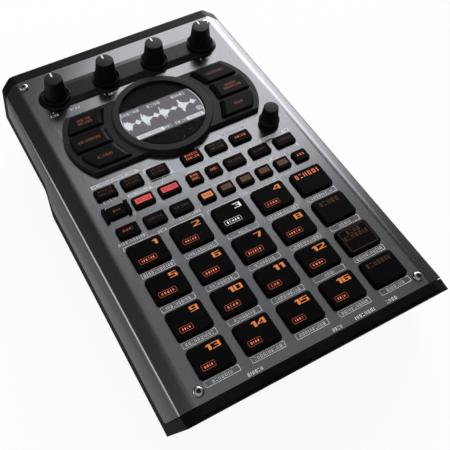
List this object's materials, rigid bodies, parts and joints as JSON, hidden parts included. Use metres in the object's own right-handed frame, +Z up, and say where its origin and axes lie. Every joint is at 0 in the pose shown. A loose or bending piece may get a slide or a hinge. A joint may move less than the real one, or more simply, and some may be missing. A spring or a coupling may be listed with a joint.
{
  "type": "portable sampler",
  "caption": "Flat desktop sampler: grey metal cover in a black case, with pads, small keys, effect buttons, skirted knobs, an encoder and a round display.",
  "frame": {"origin": "on the table, under the middle of the case", "axes": "+X to the player's right, +Y to the rear, +Z up"},
  "size_m": [0.1804, 0.2732, 0.0705],
  "materials": {
    "case_black": "fine matt",
    "cover_grey": "metallic grey paint",
    "pod_black": "satin",
    "lens": "clear, polished",
    "display": "lit picture",
    "board": "lacquered board",
    "rubber_black": "matt",
    "pad_rubber": "soft sheen",
    "key_black": "satin",
    "effect_grey": "satin",
    "knob_black": "soft matt",
    "bright_screw": "polished",
    "contact_steel": "plated",
    "control_metal": "drawn metal",
    "socket_black": "moulded"
  },
  "bodies": {
    "case": {"side_rails": "case_black", "front_cap": "case_black", "rear_cap": "case_black", "lower_case": "case_black", "top_cover": "cover_grey", "knob_plinth": "case_black", "display_pod": "pod_black", "display_lens": "lens", "display_module": "display", "circuit_boards": "board", "key_mat": "rubber_black", "front_connectors": "socket_black", "rear_connectors": "socket_black", "battery_contacts": "contact_steel", "rubber_feet": "rubber_black", "panel_screws": "bright_screw", "case_screws": "contact_steel", "key_guard": "case_black"},
    "pad_1": {"pad_1": "pad_rubber"},
    "pad_2": {"pad_2": "pad_rubber"},
    "pad_3": {"pad_3": "pad_rubber"},
    "pad_4": {"pad_4": "pad_rubber"},
    "pad_5": {"pad_5": "pad_rubber"},
    "pad_6": {"pad_6": "pad_rubber"},
    "pad_7": {"pad_7": "pad_rubber"},
    "pad_8": {"pad_8": "pad_rubber"},
    "pad_9": {"pad_9": "pad_rubber"},
    "pad_10": {"pad_10": "pad_rubber"},
    "pad_11": {"pad_11": "pad_rubber"},
    "pad_12": {"pad_12": "pad_rubber"},
    "pad_13": {"pad_13": "pad_rubber"},
    "pad_14": {"pad_14": "pad_rubber"},
    "pad_15": {"pad_15": "pad_rubber"},
    "pad_16": {"pad_16": "pad_rubber"},
    "side_pad_1": {"side_pad_1": "pad_rubber"},
    "side_pad_2": {"side_pad_2": "pad_rubber"},
    "side_pad_3": {"side_pad_3": "pad_rubber"},
    "side_pad_4": {"side_pad_4": "pad_rubber"},
    "fx_button_1": {"fx_button_1": "effect_grey"},
    "fx_button_2": {"fx_button_2": "effect_grey"},
    "fx_button_3": {"fx_button_3": "effect_grey"},
    "fx_button_4": {"fx_button_4": "effect_grey"},
    "fx_button_5": {"fx_button_5": "effect_grey"},
    "fx_button_6": {"fx_button_6": "effect_grey"},
    "keys_left_rear": {"keys_left_rear": "key_black"},
    "keys_right_rear": {"keys_right_rear": "key_black"},
    "keys_left_middle": {"keys_left_middle": "key_black"},
    "keys_right_middle": {"keys_right_middle": "key_black"},
    "keys_left_front": {"keys_left_front": "key_black"},
    "keys_right_front": {"keys_right_front": "key_black"},
    "knob_1": {"knob_1": "knob_black"},
    "knob_2": {"knob_2": "knob_black"},
    "knob_3": {"knob_3": "knob_black"},
    "knob_4": {"knob_4": "knob_black"},
    "encoder_shaft": {"encoder_shaft": "control_metal"},
    "encoder_knob": {"encoder_knob": "knob_black"},
    "gain_knob": {"gain_knob": "knob_black"},
    "input_switch": {"input_switch": "socket_black"},
    "power_switch": {"power_switch": "socket_black"},
    "battery_door": {"battery_door": "case_black"}
  },
  "joints": [
    {"name": "pad_1_press", "type": "slide", "parent": "case", "child": "pad_1", "axis": [0, 0, -1], "range_m": [0, 0.001], "stiffness_N_per_m": 400, "springref_m": -0.002},
    {"name": "pad_2_press", "type": "slide", "parent": "case", "child": "pad_2", "axis": [0, 0, -1], "range_m": [0, 0.001], "stiffness_N_per_m": 400, "springref_m": -0.002},
    {"name": "pad_3_press", "type": "slide", "parent": "case", "child": "pad_3", "axis": [0, 0, -1], "range_m": [0, 0.001], "stiffness_N_per_m": 400, "springref_m": -0.002},
    {"name": "pad_4_press", "type": "slide", "parent": "case", "child": "pad_4", "axis": [0, 0, -1], "range_m": [0, 0.001], "stiffness_N_per_m": 400, "springref_m": -0.002},
    {"name": "pad_5_press", "type": "slide", "parent": "case", "child": "pad_5", "axis": [0, 0, -1], "range_m": [0, 0.001], "stiffness_N_per_m": 400, "springref_m": -0.002},
    {"name": "pad_6_press", "type": "slide", "parent": "case", "child": "pad_6", "axis": [0, 0, -1], "range_m": [0, 0.001], "stiffness_N_per_m": 400, "springref_m": -0.002},
    {"name": "pad_7_press", "type": "slide", "parent": "case", "child": "pad_7", "axis": [0, 0, -1], "range_m": [0, 0.001], "stiffness_N_per_m": 400, "springref_m": -0.002},
    {"name": "pad_8_press", "type": "slide", "parent": "case", "child": "pad_8", "axis": [0, 0, -1], "range_m": [0, 0.001], "stiffness_N_per_m": 400, "springref_m": -0.002},
    {"name": "pad_9_press", "type": "slide", "parent": "case", "child": "pad_9", "axis": [0, 0, -1], "range_m": [0, 0.001], "stiffness_N_per_m": 400, "springref_m": -0.002},
    {"name": "pad_10_press", "type": "slide", "parent": "case", "child": "pad_10", "axis": [0, 0, -1], "range_m": [0, 0.001], "stiffness_N_per_m": 400, "springref_m": -0.002},
    {"name": "pad_11_press", "type": "slide", "parent": "case", "child": "pad_11", "axis": [0, 0, -1], "range_m": [0, 0.001], "stiffness_N_per_m": 400, "springref_m": -0.002},
    {"name": "pad_12_press", "type": "slide", "parent": "case", "child": "pad_12", "axis": [0, 0, -1], "range_m": [0, 0.001], "stiffness_N_per_m": 400, "springref_m": -0.002},
    {"name": "pad_13_press", "type": "slide", "parent": "case", "child": "pad_13", "axis": [0, 0, -1], "range_m": [0, 0.001], "stiffness_N_per_m": 400, "springref_m": -0.002},
    {"name": "pad_14_press", "type": "slide", "parent": "case", "child": "pad_14", "axis": [0, 0, -1], "range_m": [0, 0.001], "stiffness_N_per_m": 400, "springref_m": -0.002},
    {"name": "pad_15_press", "type": "slide", "parent": "case", "child": "pad_15", "axis": [0, 0, -1], "range_m": [0, 0.001], "stiffness_N_per_m": 400, "springref_m": -0.002},
    {"name": "pad_16_press", "type": "slide", "parent": "case", "child": "pad_16", "axis": [0, 0, -1], "range_m": [0, 0.001], "stiffness_N_per_m": 400, "springref_m": -0.002},
    {"name": "side_pad_1_press", "type": "slide", "parent": "case", "child": "side_pad_1", "axis": [0, 0, -1], "range_m": [0, 0.001], "stiffness_N_per_m": 400, "springref_m": -0.002},
    {"name": "side_pad_2_press", "type": "slide", "parent": "case", "child": "side_pad_2", "axis": [0, 0, -1], "range_m": [0, 0.001], "stiffness_N_per_m": 400, "springref_m": -0.002},
    {"name": "side_pad_3_press", "type": "slide", "parent": "case", "child": "side_pad_3", "axis": [0, 0, -1], "range_m": [0, 0.001], "stiffness_N_per_m": 400, "springref_m": -0.002},
    {"name": "side_pad_4_press", "type": "slide", "parent": "case", "child": "side_pad_4", "axis": [0, 0, -1], "range_m": [0, 0.001], "stiffness_N_per_m": 400, "springref_m": -0.002},
    {"name": "fx_button_1_press", "type": "slide", "parent": "case", "child": "fx_button_1", "axis": [0, 0, -1], "range_m": [0, 0.0008], "stiffness_N_per_m": 400, "springref_m": -0.002},
    {"name": "fx_button_2_press", "type": "slide", "parent": "case", "child": "fx_button_2", "axis": [0, 0, -1], "range_m": [0, 0.0008], "stiffness_N_per_m": 400, "springref_m": -0.002},
    {"name": "fx_button_3_press", "type": "slide", "parent": "case", "child": "fx_button_3", "axis": [0, 0, -1], "range_m": [0, 0.0008], "stiffness_N_per_m": 400, "springref_m": -0.002},
    {"name": "fx_button_4_press", "type": "slide", "parent": "case", "child": "fx_button_4", "axis": [0, 0, -1], "range_m": [0, 0.0008], "stiffness_N_per_m": 400, "springref_m": -0.002},
    {"name": "fx_button_5_press", "type": "slide", "parent": "case", "child": "fx_button_5", "axis": [0, 0, -1], "range_m": [0, 0.0008], "stiffness_N_per_m": 400, "springref_m": -0.002},
    {"name": "fx_button_6_press", "type": "slide", "parent": "case", "child": "fx_button_6", "axis": [0, 0, -1], "range_m": [0, 0.0008], "stiffness_N_per_m": 400, "springref_m": -0.002},
    {"name": "keys_left_rear_press", "type": "slide", "parent": "case", "child": "keys_left_rear", "axis": [0, 0, -1], "range_m": [0, 0.0006], "stiffness_N_per_m": 500, "springref_m": -0.002},
    {"name": "keys_right_rear_press", "type": "slide", "parent": "case", "child": "keys_right_rear", "axis": [0, 0, -1], "range_m": [0, 0.0006], "stiffness_N_per_m": 500, "springref_m": -0.002},
    {"name": "keys_left_middle_press", "type": "slide", "parent": "case", "child": "keys_left_middle", "axis": [0, 0, -1], "range_m": [0, 0.0006], "stiffness_N_per_m": 500, "springref_m": -0.002},
    {"name": "keys_right_middle_press", "type": "slide", "parent": "case", "child": "keys_right_middle", "axis": [0, 0, -1], "range_m": [0, 0.0006], "stiffness_N_per_m": 500, "springref_m": -0.002},
    {"name": "keys_left_front_press", "type": "slide", "parent": "case", "child": "keys_left_front", "axis": [0, 0, -1], "range_m": [0, 0.0006], "stiffness_N_per_m": 500, "springref_m": -0.002},
    {"name": "keys_right_front_press", "type": "slide", "parent": "case", "child": "keys_right_front", "axis": [0, 0, -1], "range_m": [0, 0.0006], "stiffness_N_per_m": 500, "springref_m": -0.002},
    {"name": "knob_1_turn", "type": "hinge", "parent": "case", "child": "knob_1", "pos_m": [-0.0558, 0.10235, 0.06], "axis": [0, 0, 1], "range_deg": [-150, 150]},
    {"name": "knob_2_turn", "type": "hinge", "parent": "case", "child": "knob_2", "pos_m": [-0.0186, 0.10235, 0.06], "axis": [0, 0, 1], "range_deg": [-150, 150]},
    {"name": "knob_3_turn", "type": "hinge", "parent": "case", "child": "knob_3", "pos_m": [0.0186, 0.10235, 0.06], "axis": [0, 0, 1], "range_deg": [-150, 150]},
    {"name": "knob_4_turn", "type": "hinge", "parent": "case", "child": "knob_4", "pos_m": [0.0558, 0.10235, 0.06], "axis": [0, 0, 1], "range_deg": [-150, 150]},
    {"name": "encoder_shaft_press", "type": "slide", "parent": "case", "child": "encoder_shaft", "axis": [0, 0, -1], "range_m": [0, 0.0006], "stiffness_N_per_m": 600, "springref_m": -0.002},
    {"name": "encoder_turn", "type": "hinge", "parent": "encoder_shaft", "child": "encoder_knob", "pos_m": [0.06, 0.01635, 0.06], "axis": [0, 0, 1], "continuous": true},
    {"name": "gain_turn", "type": "hinge", "parent": "case", "child": "gain_knob", "pos_m": [0.0123, -0.12265, 0.0335], "axis": [0, -1, 0], "range_deg": [-140, 140]},
    {"name": "input_switch_slide", "type": "slide", "parent": "case", "child": "input_switch", "axis": [1, 0, 0], "range_m": [0, 0.004]},
    {"name": "power_switch_slide", "type": "slide", "parent": "case", "child": "power_switch", "axis": [-1, 0, 0], "range_m": [0, 0.004]},
    {"name": "battery_door_slide", "type": "slide", "parent": "case", "child": "battery_door", "axis": [0, -1, 0], "range_m": [0, 0.05]}
  ]
}
